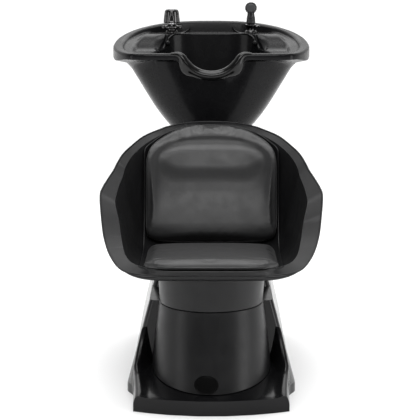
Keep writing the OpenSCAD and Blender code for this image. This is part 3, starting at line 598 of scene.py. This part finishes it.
a = np.linspace(0, 2 * math.pi, 144, endpoint=False)
collar = []
for t, r in ((0, 5.5), (0, 0.9), (0.01, 0), (0.25, 0), (0.5, 0), (0.75, 0), (1, 0), (1, 5.5)):
    y_at = -290 + 153 * np.sin(a)
    top = 354 - math.tan(math.radians(3.3)) * (y_at + 200) + 1.5
    z = lerp(276.2 if r == 0 else 275.6, top, t)
    rad = lerp(150, 155, (z - 276) / 90) - r
    collar.append(np.stack([rad * np.cos(a), -290 + rad * np.sin(a), z], -1))
stack("collar_ring", collar, LOOKS["satin_black"], "base", cap="loop", slot="satin_black", bevel=0.8, angle=40,
      replaces=["seat_collar"])

# Blank oval badge that follows the shield
BADGE_X, BADGE_Z = -14, 78
badge = []
for rho, h in ((0.02, 2.4), (.3, 2.4), (.6, 2.35), (.84, 2.3), (.88, 2.0), (.9, 2.9), (.95, 3.2), (.985, 2.7),
               (1, 1.6), (1, -1)):
    q = np.linspace(0, 2 * math.pi, 72, endpoint=False)
    x, z = BADGE_X + 34.5 * rho * np.cos(q), BADGE_Z + 25.5 * rho * np.sin(q)
    badge.append(cover_point(np.arcsin(x / shield_half(z)), z, -h))
stack("oval_plate", badge, LOOKS["badge_black"], "base", slot="gloss_black", replaces=["oval_badge"])

# ---------- basin ----------

RIM_Z = 955  # height of the front rim
NOTCH_DEPTH, NOTCH_HALF = 69, 107
RIM = np.array([[0, 108], [50, 108], [92, 108], [123, 108], [158, 108], [208, 110], [250, 124], [283, 185], [303, 265],
                [304, 335], [289, 410], [252, 478], [192, 530], [108, 562], [0, 570]], float)
EDGE = np.array([[0, 152], [44, 152], [82, 152], [110, 152], [137, 153], [164, 157], [186, 175], [191, 210], [181, 256],
                 [169, 305], [157, 352], [138, 398], [104, 424], [60, 438], [0, 440]], float)


def outline(half, steps=18):
    p = np.concatenate([half, half[-2:0:-1] * [-1, 1]])
    n = len(p)
    s = np.arange(n * steps) / steps
    i = np.floor(s).astype(int)
    return catmull(p[(i - 1) % n], p[i % n], p[(i + 1) % n], p[(i + 2) % n], (s - i)[:, None])


rim_line, edge_line = outline(RIM) * [312 / 304, 1], outline(EDGE)
MID = np.array([0, 300.0])


def rim_height(y):
    return RIM_Z + 69 * np.clip((y - 110) / 460, 0, 1) ** 1.9


def deck_height(p):
    """Height of the deck inside the rim: a step in the middle, a long ramp at the sides."""
    k = ease((np.abs(p[:, 0]) - 140) / 50)
    return RIM_Z + lerp(-9, 36, ease((p[:, 1] - lerp(372, 296, k)) / lerp(26, 120, k)))


def dip(p):
    """Drop of the front rim in the neck notch."""
    return np.where(p[:, 1] > 215, 0, NOTCH_DEPTH * np.maximum(0, 1 - (np.abs(p[:, 0]) / NOTCH_HALF) ** 3.3) ** 1.25)


def skirt(p):
    return lerp(20, 38, ease((p[:, 1] - 115) / 130)) - 9 * dip(p) / NOTCH_DEPTH


def flank(p):
    """0 along the front and rear, 1 along the sides."""
    return ease((np.abs(p[:, 0]) - 190) / 60)


def inset(p, t):
    v = p - MID
    return p - t * v / np.linalg.norm(v, axis=1, keepdims=True)


def with_z(q, z):
    return np.concatenate([q, np.broadcast_to(np.asarray(z, float), (len(q),))[:, None]], 1)


def rim_ring(t, drop):
    q = inset(rim_line, t)
    fall = drop if drop <= 9 else 9 + (drop - 9) * (skirt(rim_line) - 9) / 29
    return with_z(q, rim_height(rim_line[:, 1]) - fall - dip(q))


def edge_ring(t, drop):
    """The basin's inner edge. In the notch it lies lower on the inner wall."""
    q, fall = inset(edge_line, t), dip(edge_line)
    q = lerp(q, wall_ring[:, :2], (fall / 153)[:, None])
    return with_z(q, deck_height(edge_line) - drop - fall)


def oval_ring(hw, yf, yr, nf, nr, z):
    v = rim_line - MID
    fore = v[:, 1] < 0
    b, n = np.where(fore, 300 - yf, yr - 300), np.where(fore, nf, nr)
    k = ((np.abs(v[:, 0]) / hw) ** n + (np.abs(v[:, 1]) / b) ** n) ** (-1 / n)
    return with_z(MID + v * k[:, None], z)


def between(rings, steps):
    rows = np.asarray(rings).reshape(len(rings), -1)
    s = np.linspace(0, len(rings) - 1, (len(rings) - 1) * steps + 1)
    return list(row_at(rows, s).reshape(len(s), -1, 3))


wall_ring = oval_ring(158, 178, 407, 2.7, 2.3, 789)
body_top, body_low = oval_ring(254, 117, 448, 3.4, 2.4, 0), oval_ring(187, 168, 414, 2.7, 2.3, 783)
top_z = lerp(950 - skirt(body_top) - 14 * flank(body_top), 979, ease((body_top[:, 1] - 380) / 60))
fall = dip(body_top)
body_top = with_z(lerp(body_top, body_low, (fall / (top_z - 783))[:, None])[:, :2], top_z - fall)
under = inset(rim_line, 37)
under = with_z(under, np.minimum(rim_height(rim_line[:, 1]) - skirt(rim_line) - 8 * flank(rim_line),
                                 deck_height(under) - 8) - dip(under))
below = between([oval_ring(60, 250, 350, 2.2, 2.1, 690.8), oval_ring(108, 225, 372, 2.4, 2.2, 691),
                 oval_ring(122, 206, 386, 2.4, 2.2, 700), oval_ring(147, 190, 397, 2.5, 2.2, 727),
                 body_low, body_top], 6)
lip = [rim_ring(*q) for q in ((2.5, 38.4), (.8, 37.4), (0, 35), (0, 20), (0, 9), (.8, 5.6), (2.6, 2.7), (5.4, .9),
                              (9, .1), (16, -.4), (23, 0), (28, 1.2), (31.5, 3.4), (33.8, 6.3), (35, 9.5))]
deck_out, deck_in = inset(rim_line, 40), inset(edge_line, -9)
deck = []
for u in np.linspace(0, 1, 26):
    q = lerp(deck_out, deck_in, u)
    ledge = np.minimum(rim_height(rim_line[:, 1]) - 11, 991)
    deck.append(with_z(q, lerp(np.minimum(ledge, deck_height(q) + 30), deck_height(q), ease((u - .22) / .16)) - dip(q)))
brink = [edge_ring(*q) for q in ((-8, -1.2), (-6, -1.6), (-4, -1.2), (-2, 0), (-.6, 2), (0, 5))]
hollow = between([edge_ring(.4, 10), wall_ring, oval_ring(118, 198, 390, 2.5, 2.2, 735),
                  oval_ring(88, 222, 374, 2.4, 2.2, 709), oval_ring(50, 255, 345, 2, 2, 704.5),
                  oval_ring(26, 274, 326, 2, 2, 703)], 6)
hole = oval_ring(26, 274, 326, 2, 2, 691)
stack("basin", [hole, *below, under, *lip, *deck, *brink, *hollow], LOOKS["basin_black"], "bowl", cap="loop",
      slot="gloss_black", bevel=1.5, angle=55, replaces=["bowl"])

# Ribs that run down beside the rear deck to the basin's edge, each ending in a small knob
for side, sx in (("left", -1), ("right", 1)):
    line = row_at(np.array([[66, 548, 1006], [80, 500, 995], [97, 440, 991], [120, 412, 990], [138, 394, 978],
                            [143, 386, 960]], float),
                  np.linspace(0, 5, 40)) * [sx, 1, 1]
    tube("splash_rib_" + side, line, np.linspace(2.5, 4.2, 40), LOOKS["gloss_black"], "bowl", slot="gloss_black")
    lathe("rib_knob_" + side, [(0, 0), (7, 0), (8.6, 4), (8.2, 9), (5.5, 12), (0, 12.6)], (sx * 142, 388, 964),
          LOOKS["gloss_black"], "bowl", axis="-Y", n=40, r=2, slot="gloss_black")

# Soft roll over the neck notch, with flared lower corners and ends that run out over the rim
half = np.array([[0, -69, 15.5], [33, -64, 15.5], [60, -50, 15.2], [79, -30, 14], [90, -13, 12], [102, -4.5, 9.5],
                 [117, -3.5, 7], [133, -5, 4]], float)
ctrl = np.concatenate([half[:0:-1] * [-1, 1, 1], half])
path = row_at(ctrl, np.linspace(0, len(ctrl) - 1, 121))
slope = np.gradient(path[:, :2], axis=0)
slope /= np.linalg.norm(slope, axis=1, keepdims=True)
v = np.radians(np.linspace(0, 360, 49)[:-1])
roll = []
for (x, z, r), (tx, tz) in zip(path, slope):
    flare = 12 * math.exp(-((abs(x) - 70) / 17) ** 2) * np.maximum(0, -np.cos(v)) ** 3
    rad = r * (1 + 0.04 * np.cos(3 * v)) + flare
    c = np.array([x, 112 + 5 * ease((abs(x) - 70) / 50), RIM_Z + z])
    roll.append(c + np.array([-tz, 0, tx])[None] * (rad * np.cos(v))[:, None]
                + np.array([0, -1, 0])[None] * (r * 1.15 * np.sin(v))[:, None])
stack("neck_roll", roll, LOOKS["soft_black"], "bowl", slot="soft_black", bevel=2.5, angle=60, replaces=["neck_rest"])

# ---------- mixer and spray ----------

X, Y, TOP = 130, 458, 991  # where the fittings stand on the rear deck
ROSE_Z = TOP + 82
lathe("mixer_valve", [(0, -45), (13, -45), (13, 0), (21, 0.5), (21, 3), (18, 8), (15, 9.5), (15, 14), (23, 15),
                      (24.5, 17), (24.5, 22), (22, 24.5), (16, 25), (15, 30), (8, 30)],
      (-X, Y, TOP), LOOKS["black_chrome"], "bowl", slot="black_chrome", replaces=["mixer_body"])
for k, s in enumerate((-1, 1)):
    lathe(f"mixer_lug_{k}", [(0, -2), (5.5, -2), (6.2, 0), (6.2, 6), (5.2, 8.5), (0, 9)], (-X + s * 27, Y, TOP + 15.5),
          LOOKS["black_chrome"], "bowl", n=32, slot="black_chrome")


def tongues(a, r, h):
    """Six tongue-shaped flats round the knob."""
    phase = (a + math.pi / 2 + math.pi / 6) % (math.pi / 3) - math.pi / 6
    width = 0.34 * (1 - 0.25 * ease((h - 8) / 22))
    hit = ease((width - np.abs(phase)) / 0.10) * ease((h - 3) / 5) * ease((37 - h) / 12)
    flat = r * (1 - 0.93 * np.cos(width) / np.cos(phase))
    return r - hit * np.maximum(0, flat) * 0.9


bell = [(lerp(27, 23.2, t ** 1.4), 3 + 34 * t) for t in np.linspace(0, 1, 24)]
lathe("mixer_bell", [(20, 11), (20, 0), (26, 0)] + bell + [(21, 42), (18, 44.3), (10, 45), (9.2, 43.6), (0, 43.6)],
      (-X, Y, TOP + 33), LOOKS["black_chrome"], "mixer_knob", n=180, r=1.4, shape=tongues, slot="black_chrome",
      replaces=["mixer_knob"])

lathe("spray_socket", [(9.5, -45), (13, -45), (13, 0), (21, 0.5), (21, 3), (17.5, 8), (15.5, 9.5), (16, 16),
                       (18, 26), (18, 28), (13, 28), (12.6, 12)], (X, Y, TOP), LOOKS["black_chrome"], "bowl",
      cap="loop", slot="black_chrome", replaces=["spray_holder"])
tube("spray_socket_tab", [[X + 14, Y, TOP + 21], [X + 20, Y, TOP + 21.5], [X + 26, Y, TOP + 22], [X + 29, Y, TOP + 22]],
     [5, 5, 4.6, 3.2], LOOKS["black_chrome"], "bowl", n=20, slot="black_chrome")


def ribs(a, r, h):
    """Grip ribs on the handle."""
    return r + 0.5 * np.cos(14 * a) * ease((h - 22) / 3) * ease((44 - h) / 4)


lathe("spray_grip", [(6, 38), (6, 0), (12, 0), (12.1, 18), (14.3, 24), (13.2, 40), (12, 48), (10.5, 60), (9, 66),
                     (0, 66)],
      (X, Y, TOP + 10), LOOKS["spray_black"], "spray", n=140, shape=ribs, slot="spray_black", replaces=["spray_handle"])


def scallops(a, r, h):
    """Scalloped edge of the spray's head."""
    return np.where(r > 15, r + 0.9 * np.cos(20 * a) * ease((h + 6) / 3) * ease((9 - h) / 3), r)


lathe("spray_rose", [(0, -9), (8, -8.6), (15, -6), (18.6, -1), (19.3, 4), (18.6, 9), (17, 10.2), (15.8, 9.6), (15.4, 8),
                     (0, 8)],
      (X, Y, ROSE_Z), LOOKS["spray_black"], "spray", axis="-Y", n=200, shape=scallops, slot="spray_black",
      replaces=["spray_head"])
nozzle = [(0, 7), (15.2, 7), (15, 10), (12, 11.2), (0, 11.8)]
lathe("spray_plate", nozzle, (X, Y, ROSE_Z), LOOKS["spray_grey"], "spray", axis="-Y", n=64, slot="spray_grey",
      replaces=["spray_face"])
k = 0
for rad, count in ((0, 1), (5, 6), (10, 12)):
    for q in range(count):
        t = 2 * math.pi * q / count
        lathe(f"spray_nub_{k}", [(0, 10), (1.1, 10), (0.9, 13), (0, 13.2)],
              (X + rad * math.cos(t), Y, ROSE_Z + rad * math.sin(t)), LOOKS["spray_black"], "spray", axis="-Y", n=10,
              r=0.2, slot="spray_black")
        k += 1

# ---------- stage ----------

def stage_material(name, colour, rough):
    m = bpy.data.materials.new(name)
    m.use_nodes = True
    p = m.node_tree.nodes["Principled BSDF"]
    p.inputs["Base Color"].default_value = (*colour, 1)
    p.inputs["Roughness"].default_value = rough
    p.inputs["Specular IOR Level"].default_value = 0.0
    return m


bm = bmesh.new()
bmesh.ops.create_circle(bm, cap_ends=True, radius=60, segments=96)
me = bpy.data.meshes.new("floor")
bm.to_mesh(me)
bm.free()
floor = bpy.data.objects.new("floor", me)
bpy.context.scene.collection.objects.link(floor)
floor.location.z = -0.0005
me.materials.append(stage_material("floor_white", (.93, .93, .93), .9))


def softbox(name, at, aim, size, radiance):
    """Rectangular area light of a given surface brightness."""
    d = bpy.data.lights.new(name, "AREA")
    d.shape, d.size, d.size_y = "RECTANGLE", *size
    d.energy = radiance * math.pi * size[0] * size[1]
    ob = bpy.data.objects.new(name, d)
    bpy.context.scene.collection.objects.link(ob)
    ob.location = at
    ob.rotation_euler = (Vector(aim) - Vector(at)).to_track_quat("-Z", "Y").to_euler()


softbox("side_right", (2.5, -1.15, 1.0), (0, -.2, .6), (1.0, 2.0), 3.6)
softbox("side_left", (-2.5, -1.35, 1.0), (0, -.2, .6), (0.8, 2.0), 2.2)
softbox("front_top", (0, -2.6, 3.0), (0, -.1, .6), (2.2, 1.4), 5.2)
softbox("rear_top", (0, 2.4, 2.6), (0, .2, .8), (2.6, 1.2), 1.4)
sun = bpy.data.lights.new("overhead", "SUN")
sun.energy, sun.angle = 2.6, math.radians(52)
bpy.context.scene.collection.objects.link(bpy.data.objects.new("overhead", sun))

world = bpy.data.worlds.new("studio")
world.use_nodes = True
bpy.context.scene.world = world
nt = world.node_tree
sky = nt.nodes["Background"]
co, xyz, ramp = (nt.nodes.new("ShaderNode" + k) for k in ("TexCoord", "SeparateXYZ", "MapRange"))
nt.links.new(co.outputs["Generated"], xyz.inputs["Vector"])
nt.links.new(xyz.outputs["Y"], ramp.inputs["Value"])
ramp.interpolation_type = "SMOOTHSTEP"
for key, value in (("From Min", -0.3), ("From Max", 0.7), ("To Min", 0.16), ("To Max", 0.85)):
    ramp.inputs[key].default_value = value
nt.links.new(ramp.outputs["Result"], sky.inputs["Strength"])
sky.inputs["Color"].default_value = (1, 1, 1, 1)

cam = bpy.data.cameras.new("camera")
cam.lens, cam.sensor_width, cam.shift_x = 136.5, 36, -0.0031
cam.clip_end = 200
camera = bpy.data.objects.new("camera", cam)
camera.location = (0, -4.8, 1.41)
camera.rotation_euler = (math.radians(90 - 10.9), 0, 0)
bpy.context.scene.collection.objects.link(camera)
bpy.context.scene.camera = camera
bpy.context.scene.view_settings.view_transform = "Standard"
